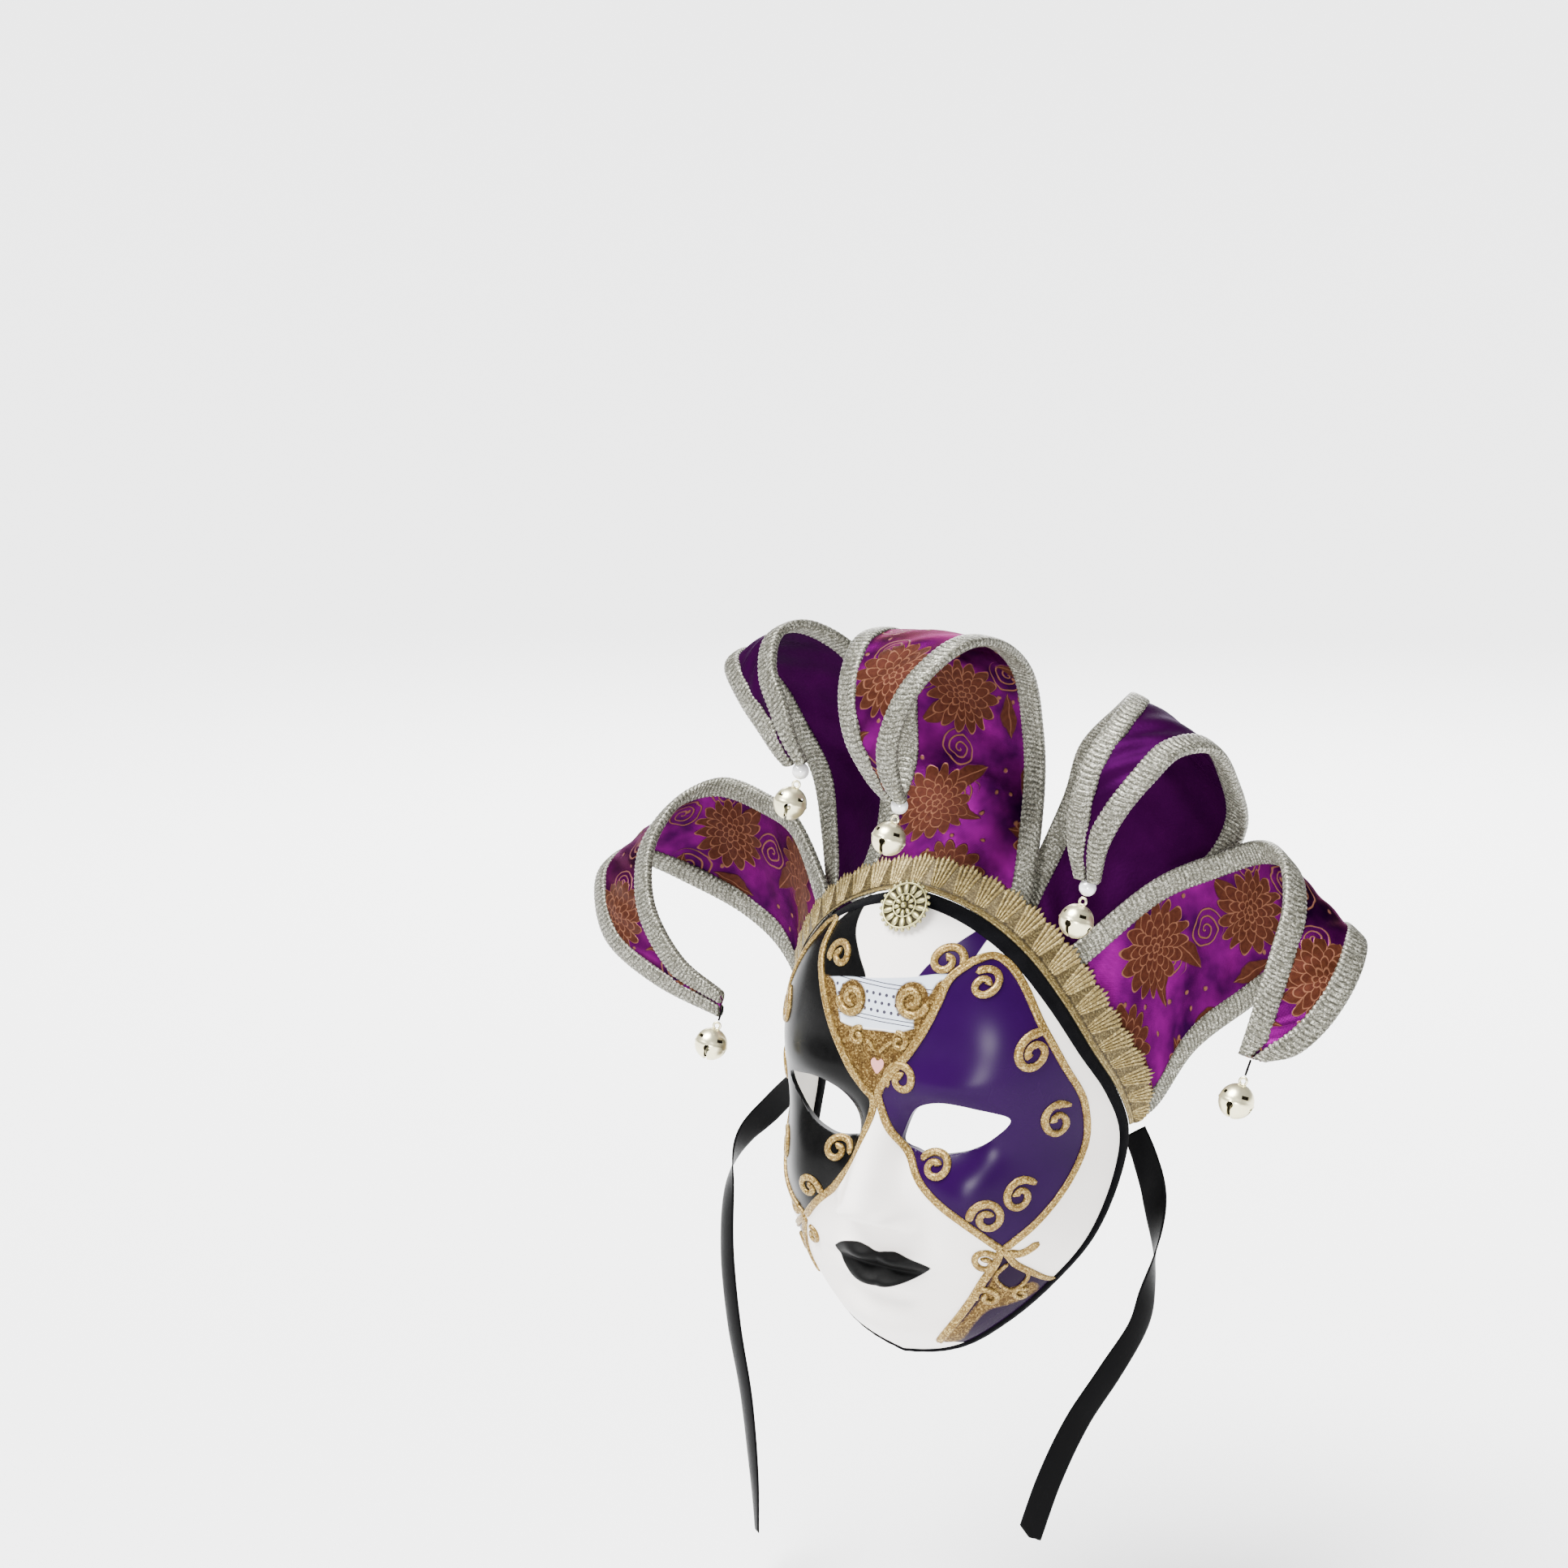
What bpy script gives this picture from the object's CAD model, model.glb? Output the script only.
import math

import bmesh
import bpy
import numpy as np
from mathutils import Matrix, Vector


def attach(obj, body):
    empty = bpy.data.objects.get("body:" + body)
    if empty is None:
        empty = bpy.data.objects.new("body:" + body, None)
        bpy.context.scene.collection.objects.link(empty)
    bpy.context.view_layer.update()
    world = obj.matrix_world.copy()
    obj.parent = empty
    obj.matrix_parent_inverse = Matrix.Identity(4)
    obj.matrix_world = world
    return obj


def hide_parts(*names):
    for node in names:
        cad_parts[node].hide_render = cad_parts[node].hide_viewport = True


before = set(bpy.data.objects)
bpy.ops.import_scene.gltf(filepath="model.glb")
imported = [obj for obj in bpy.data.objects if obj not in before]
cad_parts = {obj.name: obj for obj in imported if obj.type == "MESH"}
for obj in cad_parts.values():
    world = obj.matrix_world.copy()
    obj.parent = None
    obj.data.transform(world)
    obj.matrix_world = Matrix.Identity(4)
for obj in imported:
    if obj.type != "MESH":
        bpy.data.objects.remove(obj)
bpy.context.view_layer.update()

# Camera, floor and light. The mask hangs before a plain pale ground, seen from
# its left front and a little from above, under a large soft light.
AZIMUTH = math.radians(32)
ELEVATION = math.radians(19.6)
DISTANCE = 1.5

back = Vector((math.sin(AZIMUTH) * math.cos(ELEVATION),
               -math.cos(AZIMUTH) * math.cos(ELEVATION), math.sin(ELEVATION)))
lens = bpy.data.cameras.new("camera")
lens.lens = 72.67
lens.sensor_width = 36
lens.shift_x = -0.118
lens.shift_y = 0.186
lens.clip_end = 200
camera = bpy.data.objects.new("camera", lens)
camera.location = back * DISTANCE
camera.rotation_euler = back.to_track_quat("Z", "Y").to_euler()
bpy.context.scene.collection.objects.link(camera)
bpy.context.scene.camera = camera

paper = bpy.data.materials.new("pale_floor")
paper.use_nodes = True
paper.node_tree.nodes["Principled BSDF"].inputs["Base Color"].default_value = (0.93, 0.93, 0.93, 1)
paper.node_tree.nodes["Principled BSDF"].inputs["Roughness"].default_value = 0.9
ground = bmesh.new()
bmesh.ops.create_grid(ground, x_segments=2, y_segments=2, size=60)
bmesh.ops.translate(ground, verts=ground.verts, vec=(0, 0, -0.30))
floor_mesh = bpy.data.meshes.new("floor")
ground.to_mesh(floor_mesh)
ground.free()
floor_mesh.materials.append(paper)
floor = bpy.data.objects.new("floor", floor_mesh)
bpy.context.scene.collection.objects.link(floor)

world = bpy.data.worlds.new("soft_room")
world.use_nodes = True
world.node_tree.nodes["Background"].inputs["Color"].default_value = (0.95, 0.96, 1.0, 1)
world.node_tree.nodes["Background"].inputs["Strength"].default_value = 0.45
bpy.context.scene.world = world


def soft_box(name, place, size, power):
    lamp = bpy.data.lights.new(name, "AREA")
    lamp.shape = "RECTANGLE"
    lamp.size, lamp.size_y = size
    lamp.energy = power
    holder = bpy.data.objects.new(name, lamp)
    holder.location = place
    holder.rotation_euler = Vector(place).to_track_quat("Z", "Y").to_euler()
    bpy.context.scene.collection.objects.link(holder)


def sky_light(name, towards, angle, power):
    """A very wide soft light from far away, which lights the floor evenly."""
    lamp = bpy.data.lights.new(name, "SUN")
    lamp.angle = math.radians(angle)
    lamp.energy = power
    holder = bpy.data.objects.new(name, lamp)
    holder.rotation_euler = Vector(towards).to_track_quat("Z", "Y").to_euler()
    bpy.context.scene.collection.objects.link(holder)


sky_light("main_light", (-0.32, -0.42, 1.0), 38, 14.0)
soft_box("front_box", (1.05, -1.75, 0.36), (0.42, 0.36), 36)
soft_box("back_box", (-0.90, 1.60, 0.95), (1.6, 1.1), 70)


# Ribbons: two ties of black double-faced satin, 12 mm wide, knotted to the rim at
# the temples and hanging free, each cut slantwise at its end.
RIBBON_WIDTH = 0.012
RIBBON_WALL = 0.0007
# x, y, z in millimetres, the turn of the width in degrees, how far it leans down
RIBBON_RIGHT = [
    (85.5, 8.5, -14, 60, 0), (90.5, 10, -27, 45, 0), (95.5, 10, -45, 10, 0), (97, 8, -71, -58, 0),
    (96, 4, -90, -100, 0), (93, 1, -108, -120, 0), (82, -6, -132, -140, 0),
    (68, -12, -159, -145, 0), (57, -18, -189, -150, 0), (48, -22, -221, -155, 0),
]
RIBBON_LEFT = [
    (-91, -5, -18, 10, 1.8), (-104, 3, -26, 10, 1.8), (-122, 8, -43, 25, 1.5), (-138, 7, -62, 82, 0.5),
    (-146, 5, -88, 143, 0), (-146, 1, -122, 158, 0), (-140, -3, -160, 160, 0),
    (-132, -5, -198, 156, 0), (-127, -7, -238, 148, 0), (-125, -8, -271, 133, 0),
]


def smooth(values, place):
    """Smooth value between evenly spaced rows of a table."""
    i = min(max(math.floor(place), 0), len(values) - 2)
    f = place - i
    b, c = values[i], values[i + 1]
    a = values[i - 1] if i > 0 else 2 * b - c
    d = values[i + 2] if i + 2 < len(values) else 2 * c - b
    rise, fall = (c - a) / 2, (d - b) / 2
    cubic = (2 * b - 2 * c + rise + fall) * f ** 3 + (3 * c - 3 * b - 2 * rise - fall) * f ** 2
    return cubic + rise * f + b


def moved_grid(columns, rows, place, flat_size, around=False):
    """A grid of cloth laid out by place(u, v). Its UV map is its flat size in
    metres. With around, the first and last column are the same line. Where place
    gives a height of the threads as well, each point keeps it."""
    shape = bmesh.new()
    flat = shape.loops.layers.uv.new("UVMap")
    threads = shape.verts.layers.float.new("threads")
    bmesh.ops.create_grid(shape, x_segments=columns, y_segments=rows, size=1)
    spots = {vert: ((vert.co.x + 1) / 2, (vert.co.y + 1) / 2) for vert in shape.verts}
    for face in shape.faces:
        for loop in face.loops:
            u, v = spots[loop.vert]
            loop[flat].uv = (u * flat_size[0], v * flat_size[1])
    for vert, (u, v) in spots.items():
        spot = place(u, v)
        if isinstance(spot, tuple):
            spot, vert[threads] = spot
        vert.co = spot
    if around:
        bmesh.ops.remove_doubles(shape, verts=shape.verts, dist=1e-6)
        bmesh.ops.recalc_face_normals(shape, faces=shape.faces)
    return shape


def add_piece(name, shape, finish):
    """Makes the shape a piece of the mask and gives it its finish."""
    mesh = bpy.data.meshes.new(name)
    shape.to_mesh(mesh)
    shape.free()
    mesh.shade_smooth()
    mesh.materials.append(finish)
    piece = bpy.data.objects.new(name, mesh)
    bpy.context.scene.collection.objects.link(piece)
    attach(piece, "root")
    return piece


def thicken(piece, wall, offset=0.0):
    layer = piece.modifiers.new("thickness", "SOLIDIFY")
    layer.thickness = wall
    layer.offset = offset
    return layer


class Finish:
    """A material with its shader, and short ways to add and join nodes."""

    def __init__(self, name, colour, roughness, metallic=0.0, **constants):
        self.material = bpy.data.materials.new(name)
        self.material.use_nodes = True
        self.tree = self.material.node_tree
        self.shader = self.tree.nodes["Principled BSDF"]
        self.set("Base Color", (*colour, 1))
        self.set("Roughness", roughness)
        self.set("Metallic", metallic)
        for socket, value in constants.items():
            self.set(socket.replace("_", " "), value)

    def set(self, socket, value):
        self.shader.inputs[socket].default_value = value

    def add(self, kind, values=None, **settings):
        made = self.tree.nodes.new("ShaderNode" + kind)
        for name, value in settings.items():
            setattr(made, name, value)
        for name, value in (values or {}).items():
            self.join(value, made.inputs[name])
        return made

    def join(self, value, socket):
        """Links an output to a socket, or sets the socket to a plain value."""
        if isinstance(value, bpy.types.NodeSocket):
            self.tree.links.new(value, socket)
        else:
            socket.default_value = value

    def feed(self, output, socket):
        self.tree.links.new(output, self.shader.inputs[socket])

    def effect(self, group, **values):
        made = self.tree.nodes.new("ShaderNodeGroup")
        made.node_tree = group
        for name, value in values.items():
            self.join(value, made.inputs[name.replace("_", " ")])
        return made

    def maths(self, operation, a, b=0.0, c=0.0):
        made = self.tree.nodes.new("ShaderNodeMath")
        made.operation = operation
        for socket, value in zip(made.inputs, (a, b, c)):
            self.join(value, socket)
        return made.outputs["Value"]

    def blend(self, share, first, second):
        """Mixes two colours by a share."""
        made = self.tree.nodes.new("ShaderNodeMix")
        made.data_type = "RGBA"
        self.join(share, made.inputs[0])
        self.join(first, made.inputs[6])
        self.join(second, made.inputs[7])
        return made.outputs[2]

    def relief(self, height, depth, strength=1.0):
        """Bump of a height of 0 to 1, its depth in metres."""
        bump = self.add("Bump", {"Height": height, "Distance": depth, "Strength": strength})
        self.feed(bump.outputs["Normal"], "Normal")
        return bump

    def under(self, value, limit, soft=0.0003):
        """1 where a value lies under a limit, with a soft edge."""
        gap = self.maths("SUBTRACT", value, limit)
        made = self.add("MapRange", {"Value": gap, "From Min": soft, "From Max": -soft})
        return made.outputs["Result"]

    def place(self):
        return self.add("TexCoord").outputs["Object"]

    def flat_place(self):
        return self.add("TexCoord").outputs["UV"]


class Effect(Finish):
    """A node group for an effect that several finishes share."""

    def __init__(self, name, inputs, outputs):
        self.tree = bpy.data.node_groups.new(name, "ShaderNodeTree")
        for title, kind in inputs:
            self.tree.interface.new_socket(name=title, in_out="INPUT", socket_type="NodeSocket" + kind)
        for title, kind in outputs:
            self.tree.interface.new_socket(name=title, in_out="OUTPUT", socket_type="NodeSocket" + kind)
        self.given = self.tree.nodes.new("NodeGroupInput").outputs
        self.result = self.tree.nodes.new("NodeGroupOutput").inputs


# Plain weave: threads over and under each other, for every cloth.
weave = Effect("plain_weave", [("Vector", "Vector"), ("Threads", "Float")], [("Height", "Float")])
weave_parts = weave.add("SeparateXYZ", {"Vector": weave.given["Vector"]})
weave_turns = weave.maths("MULTIPLY", weave.given["Threads"], 2 * math.pi)
weave_across = weave.maths("SINE", weave.maths("MULTIPLY", weave_parts.outputs["X"], weave_turns))
weave_along = weave.maths("SINE", weave.maths("MULTIPLY", weave_parts.outputs["Y"], weave_turns))
weave_cross = weave.maths("MULTIPLY", weave_across, weave_along)
weave.join(weave.maths("MULTIPLY_ADD", weave_cross, 0.5, 0.5), weave.result["Height"])

# Uneven wear: slow patches and fine specks, both around 0.5.
wear = Effect("uneven_wear", [("Vector", "Vector"), ("Scale", "Float")],
              [("Patches", "Float"), ("Specks", "Float")])
wear_patches = wear.add("TexNoise", {"Vector": wear.given["Vector"], "Scale": wear.given["Scale"],
                                     "Detail": 3.0, "Roughness": 0.55})
wear_fine = wear.maths("MULTIPLY", wear.given["Scale"], 14.0)
wear_specks = wear.add("TexNoise", {"Vector": wear.given["Vector"], "Scale": wear_fine, "Detail": 1.0})
wear.join(wear_patches.outputs["Fac"], wear.result["Patches"])
wear.join(wear_specks.outputs["Fac"], wear.result["Specks"])

# Glitter: small grains, each with its own shine and tilt.
glitter = Effect("glitter", [("Vector", "Vector"), ("Grains", "Float")],
                 [("Sparkle", "Float"), ("Height", "Float")])
glitter_cells = glitter.add("TexVoronoi", {"Vector": glitter.given["Vector"],
                                           "Scale": glitter.given["Grains"]})
glitter_parts = glitter.add("SeparateColor", {"Color": glitter_cells.outputs["Color"]})
glitter.join(glitter.maths("POWER", glitter_parts.outputs["Red"], 3.0), glitter.result["Sparkle"])
glitter.join(glitter_parts.outputs["Green"], glitter.result["Height"])

satin = Finish("black_satin", (0.0012, 0.0012, 0.0014), 0.34, IOR=1.10)
satin_weave = satin.effect(weave.tree, Vector=satin.flat_place(), Threads=2200.0)
satin_wear = satin.effect(wear.tree, Vector=satin.place(), Scale=60.0)
satin.feed(satin.maths("MULTIPLY_ADD", satin_wear.outputs["Patches"], 0.22, 0.24), "Roughness")
satin.relief(satin_weave.outputs["Height"], 0.00008, 0.5)


def ribbon(name, table):
    rows = [Vector(row[:3]) * 0.001 for row in table]
    turns = [row[3] for row in table]
    leans = [row[4] for row in table]
    last = len(rows) - 1

    def section(v):
        middle = smooth(rows, v * last)
        along = (smooth(rows, min(v * last + 0.05, last)) - smooth(rows, max(v * last - 0.05, 0)))
        along.normalize()
        turn = math.radians(smooth(turns, v * last))
        side = Vector((math.cos(turn), math.sin(turn), -smooth(leans, v * last))).normalized()
        side = (side - along * side.dot(along)).normalized()
        return middle, side, along

    def place(u, v):
        slant = (u - 0.5) * 0.030 if v > 0.9 else 0
        v = min(v, 1) - slant * max(0, v - 0.9) * 10
        middle, side, along = section(min(v, 1.0))
        cup = side.cross(along) * 0.0009 * (1 - (2 * u - 1) ** 2)
        return middle + side * RIBBON_WIDTH * (u - 0.5) + cup

    path = [smooth(rows, last * i / 60) for i in range(61)]
    length = sum((b - a).length for a, b in zip(path, path[1:]))
    shape = moved_grid(10, 150, place, (RIBBON_WIDTH, length))
    piece = add_piece(name.replace("ribbon", "satin"), shape, satin.material)
    thicken(piece, RIBBON_WALL)
    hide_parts(name)


ribbon("ribbon_right", RIBBON_RIGHT)
ribbon("ribbon_left", RIBBON_LEFT)


# Face: a moulded shell, 2.2 mm thick, with two almond eye holes. It is sprayed
# gloss white; the fields round the eyes are brushed black and deep purple, the
# lips black, and the forehead carries a pale patch with ruled lines and dots.
SPAN = 0.1
CENTRE_Z = -0.10 * SPAN
SPOKES_Z = -0.36 * SPAN
FACE_DEPTH = 0.80
FACE_WALL = 0.0022
RIM_REACH = [1.10, 1.07, 1.03, 0.97, 0.91, 0.87, 0.855, 0.88, 0.93, 0.955, 1.00, 1.065, 1.10]
RIM_AHEAD = [0.41, 0.395, 0.38, 0.34, 0.25, 0.10, 0.00, 0.07, 0.22, 0.36, 0.46, 0.52, 0.55]
NOSE_HIGH = [0.00, 0.00, 0.05, 0.11, 0.18, 0.21, 0.00]
NOSE_HALF = [0.09, 0.09, 0.09, 0.10, 0.12, 0.145, 0.145]
# x, z, spread across, spread up, height, in shares of the span
FEATURES = [
    (0.33, 0.01, 0.21, 0.12, -0.10), (0.16, -0.08, 0.07, 0.11, -0.05), (0.34, 0.22, 0.26, 0.09, 0.025),
    (0.44, -0.32, 0.19, 0.19, 0.05), (0.125, -0.41, 0.055, 0.05, 0.06), (0.24, -0.48, 0.07, 0.12, -0.03),
    (0.09, -0.645, 0.11, 0.040, 0.055), (0.05, -0.770, 0.13, 0.045, 0.070),
    (0.10, -0.700, 0.16, 0.018, -0.020), (0.00, -0.870, 0.16, 0.045, -0.020),
    (0.06, -1.010, 0.20, 0.110, 0.075),
]
EYE_HOLE = [
    (0.115, -0.070), (0.140, 0.035), (0.21, 0.120), (0.33, 0.160), (0.46, 0.145),
    (0.60, 0.090), (0.52, -0.015), (0.42, -0.075), (0.31, -0.100), (0.19, -0.105),
]
# Outlines of the painted fields, x and z in millimetres.
VIOLET_INNER = [(37, 78), (30, 71), (27, 60), (23, 49), (17, 38), (10, 28.5), (4, 21), (1.5, 14), (6, 2),
                (14, -11), (26, -25), (44, -38), (58, -54)]
VIOLET_OUTER = [(58, -54), (69, -42), (76, -28), (79.5, -12), (80.5, 5), (79, 19), (74, 36), (68, 50),
                (60, 65), (52, 75), (44, 80), (37, 78)]
BLACK_INNER = [(-41, 84), (-42, 71), (-36, 58), (-26, 41), (-15, 27), (-6, 17), (-1.5, 12), (-3, 0),
               (-9, -15), (-22, -33), (-34, -44), (-46, -57)]
BLACK_OUTER = [(-46, -57), (-58, -50), (-70, -36), (-78, -14), (-80.5, 5), (-79, 19), (-74, 36),
               (-68, 50), (-60, 65), (-52, 75), (-47, 81), (-41, 84)]
SHIELD_RIGHT = [(15, 70), (19, 76), (26, 83), (38, 92), (37, 78), (30, 71), (24, 69.5), (15, 70)]
SHIELD_LEFT = [(-28, 96), (-25, 84), (-18, 75), (-11, 65), (-24, 63), (-36, 60), (-42, 71), (-41, 84)]
PATCH = [(-37, 61), (-24, 64), (-5, 67), (11, 69.5), (30, 72), (26, 58), (21, 49), (10, 46), (1, 45.5),
         (-10, 44.5), (-20, 45), (-29, 50)]
GILDING = [(-29, 47), (-20, 44.5), (-10, 44), (1, 45), (10, 45.5), (22, 49), (13, 33), (7, 24), (2, 14),
           (-4, 15), (-14, 26), (-22, 37)]
GILDED_LEFT = [(-38, 62), (-31, 62), (-27, 58), (-24, 50), (-22, 44), (-30, 48), (-35, 55)]
GILDED_RIGHT = [(31, 72), (25, 69), (22, 62), (17, 53), (19, 46), (25, 52)]
HEART = [(0.5, 24.5), (-2.6, 28.5), (-2.8, 31), (-1.2, 32.2), (0.5, 30.6), (2.2, 32.2), (3.8, 31),
         (3.6, 28.5)]
CHIN_RIGHT = [(58, -52.5), (54, -62), (49, -70), (42, -82), (33, -95), (22, -109)]
CHIN_LEFT = [(-46, -57), (-49, -64), (-51.5, -74), (-52, -84), (-50, -94)]
CHEEK_RIGHT = [(70, -76), (66, -68), (61, -61), (58, -52.5)]
CHEEK_LEFT = [(-70, -76), (-62, -70), (-54, -63), (-46, -57)]
CHIN_RIM = [(32, -110), (50, -98), (62, -87)]
CHIN_GILDED = [(57, -56), (51, -72), (44, -84), (35, -96), (24, -108), (32, -107), (41, -95), (48, -87.5),
               (56, -85), (64, -80), (65, -74), (59, -75), (54, -75), (53.5, -67)]
DIAMOND = [(59.5, -60.5), (64.5, -68.5), (58, -76.5), (53.5, -68.5), (59.5, -60.5)]
LIPS_UPPER = [(-27, -66), (-21, -62), (-12, -59.5), (-5.5, -60), (0, -61.5), (5, -60.5), (11, -60),
              (20, -63), (27, -66)]
LIPS_LOWER = [(27, -66), (19, -72), (11, -76), (0, -78.5), (-12, -78), (-21, -74), (-27, -66)]


def rim_value(column, turn):
    return smooth(column, abs((turn + 180) % 360 - 180) / 15) * SPAN


def face_depth(x, z):
    """Y of the front of the face at x and z."""
    turn = math.degrees(math.atan2(x, z - CENTRE_Z))
    share = min(math.hypot(x, z - CENTRE_Z) / rim_value(RIM_REACH, turn), 1)
    rim = -rim_value(RIM_AHEAD, turn)
    dome = (1 - share ** 2.8) ** 0.6
    x, z = x / SPAN, z / SPAN
    rises = 0
    for across, up, wide, tall, high in FEATURES:
        sides = (1, -1) if across else (1,)
        rises += high * max(math.exp(-((x - s * across) / wide) ** 2 - ((z - up) / tall) ** 2)
                            for s in sides)
    row = (0.22 - z) / 0.12
    if 0 < row < len(NOSE_HIGH) - 1:
        half = smooth(NOSE_HALF, row)
        rises += max(smooth(NOSE_HIGH, row), 0) * math.exp(-(abs(x) / half) ** 2.4)
    return rim - (FACE_DEPTH * SPAN + rim) * dome - rises * SPAN * (1 - share ** 8)


def face_point(turn, share):
    """Point of the face on a straight spoke from under the nose out to the rim."""
    angle = math.radians(turn)
    reach = rim_value(RIM_REACH, turn)
    x = reach * math.sin(angle) * share
    z = SPOKES_Z + (CENTRE_Z + reach * math.cos(angle) - SPOKES_Z) * share
    return Vector((x, -rim_value(RIM_AHEAD, turn) if share >= 1 else face_depth(x, z), z))


def face_facing(x, z):
    """Direction straight out of the face at x and z."""
    step = 0.0008
    slope_x = (face_depth(x + step, z) - face_depth(x - step, z)) / (2 * step)
    slope_z = (face_depth(x, z + step) - face_depth(x, z - step)) / (2 * step)
    return Vector((slope_x, -1, slope_z)).normalized()


def curve_through(points, steps=6):
    points = [Vector(p) for p in points]
    count = (len(points) - 1) * steps
    return [smooth(points, i / steps) for i in range(count + 1)]


def inside_by(spots, outline):
    """Distance of each spot from a closed outline, plus where it lies inside."""
    ring = np.array([tuple(p) for p in outline])
    best = np.full(len(spots), 1e9)
    inside = np.zeros(len(spots), bool)
    for a, b in zip(ring, np.roll(ring, -1, axis=0)):
        run = b - a
        share = np.clip(((spots - a) @ run) / max(run @ run, 1e-9), 0, 1)
        best = np.minimum(best, np.linalg.norm(spots - a - share[:, None] * run, axis=1))
        crosses = (a[1] > spots[:, 1]) != (b[1] > spots[:, 1])
        meets = a[0] + (spots[:, 1] - a[1]) * run[0] / (run[1] if run[1] else 1e-9)
        inside ^= crosses & (spots[:, 0] < meets)
    return np.where(inside, best, -best)


def face_spot(u, v):
    crowded = math.sin(1.35 * v) / math.sin(1.35)
    return face_point(360 * u, min(crowded, 1))


def eye_cutter(side):
    """Prism through the shell, with the outline of one eye hole."""
    outline = [Vector(p) * SPAN for p in EYE_HOLE]
    count = len(outline)
    ring = [smooth([outline[(i + k) % count] for k in range(-1, 3)], 1 + j / 16)
            for i in range(count) for j in range(16)]
    cutter = bmesh.new()
    corners = [cutter.verts.new((side * p.x, -0.12, p.y)) for p in ring]
    base = cutter.faces.new(corners)
    grown = bmesh.ops.extrude_face_region(cutter, geom=[base])
    moved = [part for part in grown["geom"] if isinstance(part, bmesh.types.BMVert)]
    bmesh.ops.translate(cutter, verts=moved, vec=(0, 0.12, 0))
    bmesh.ops.recalc_face_normals(cutter, faces=cutter.faces)
    mesh = bpy.data.meshes.new("eye_cutter")
    cutter.to_mesh(mesh)
    cutter.free()
    holder = bpy.data.objects.new("eye_cutter", mesh)
    bpy.context.scene.collection.objects.link(holder)
    return holder


def baked(piece, helpers=()):
    """Makes the piece's modifiers part of its mesh and drops their helpers."""
    bpy.context.view_layer.update()
    graph = bpy.context.evaluated_depsgraph_get()
    mesh = bpy.data.meshes.new_from_object(piece.evaluated_get(graph))
    piece.modifiers.clear()
    piece.data = mesh
    for helper in helpers:
        bpy.data.objects.remove(helper)


paint = Finish("painted_face", (0.84, 0.81, 0.77), 0.22, IOR=1.16)


def field_mask(name, soft=0.25):
    """Paint where the named field lies inside its outline, with a brushed edge."""
    measure = paint.add("Attribute", attribute_name=name).outputs["Fac"]
    mask = paint.add("MapRange", {"Value": measure, "From Min": -soft, "From Max": soft})
    return mask.outputs["Result"]


paint_place = paint.place()
paint_wear = paint.effect(wear.tree, Vector=paint_place, Scale=22.0)
patches, specks = paint_wear.outputs["Patches"], paint_wear.outputs["Specks"]
white = paint.blend(patches, (0.88, 0.84, 0.80, 1), (0.80, 0.755, 0.715, 1))
purple = paint.blend(patches, (0.0075, 0.00005, 0.019, 1), (0.015, 0.0001, 0.034, 1))
black = paint.blend(specks, (0.001, 0.001, 0.001, 1), (0.003, 0.003, 0.003, 1))
lip_black = paint.blend(specks, (0.001, 0.001, 0.001, 1), (0.004, 0.004, 0.004, 1))
gilded = field_mask("gilding", 0.5)
paint_glitter = paint.effect(glitter.tree, Vector=paint_place, Grains=1500.0)
paint_gold = paint.blend(specks, (0.020, 0.009, 0.002, 1), (0.080, 0.042, 0.010, 1))
paint_gold = paint.blend(paint_glitter.outputs["Sparkle"], paint_gold, (0.26, 0.17, 0.055, 1))

# Ruled lines and dots of the patch: two lines along its top, two along its foot,
# and three rows of dots between, all in thin ink.
paint_axes = paint.add("SeparateXYZ", {"Vector": paint_place}).outputs
ink = None
for height in (0.0655, 0.0638, 0.0505, 0.0488):
    off = paint.maths("ABSOLUTE", paint.maths("SUBTRACT", paint_axes["Z"], height))
    line = paint.maths("LESS_THAN", off, 0.00022)
    ink = line if ink is None else paint.maths("MAXIMUM", ink, line)
for height, width, shift in ((0.0605, 0.0036, 0.0), (0.0568, 0.0036, 0.0018), (0.0532, 0.0036, 0.0)):
    step = paint.maths("FLOORED_MODULO", paint.maths("ADD", paint_axes["X"], shift), width)
    across = paint.maths("SUBTRACT", step, width / 2)
    up = paint.maths("SUBTRACT", paint_axes["Z"], height)
    far = paint.maths("ADD", paint.maths("MULTIPLY", across, across), paint.maths("MULTIPLY", up, up))
    ink = paint.maths("MAXIMUM", ink, paint.maths("LESS_THAN", far, 0.0008 ** 2))
card = paint.blend(patches, (0.52, 0.57, 0.62, 1), (0.40, 0.44, 0.52, 1))
card = paint.blend(ink, card, (0.035, 0.032, 0.045, 1))

colour = paint.blend(field_mask("violet"), white, purple)
colour = paint.blend(field_mask("black"), colour, black)
colour = paint.blend(field_mask("patch"), colour, card)
colour = paint.blend(field_mask("wedges", 0.3), colour, (0.006, 0.0003, 0.011, 1))
colour = paint.blend(gilded, colour, paint_gold)
colour = paint.blend(field_mask("heart", 0.15), colour, (0.60, 0.26, 0.24, 1))
colour = paint.blend(field_mask("lips", 0.2), colour, lip_black)
paint.feed(colour, "Base Color")
paint_rough = paint.maths("MULTIPLY_ADD", patches, 0.12, 0.20)
paint_rough = paint.maths("MULTIPLY_ADD", field_mask("lips", 0.2), 0.26, paint_rough)
paint.feed(paint.maths("MULTIPLY_ADD", gilded, 0.2, paint_rough), "Roughness")
paint.feed(paint.maths("MULTIPLY", gilded, 0.5), "Metallic")
grain = paint.maths("MULTIPLY", gilded, paint_glitter.outputs["Height"])
paint.relief(paint.maths("MULTIPLY_ADD", patches, 0.1, grain), 0.0005, 0.5)

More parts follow.
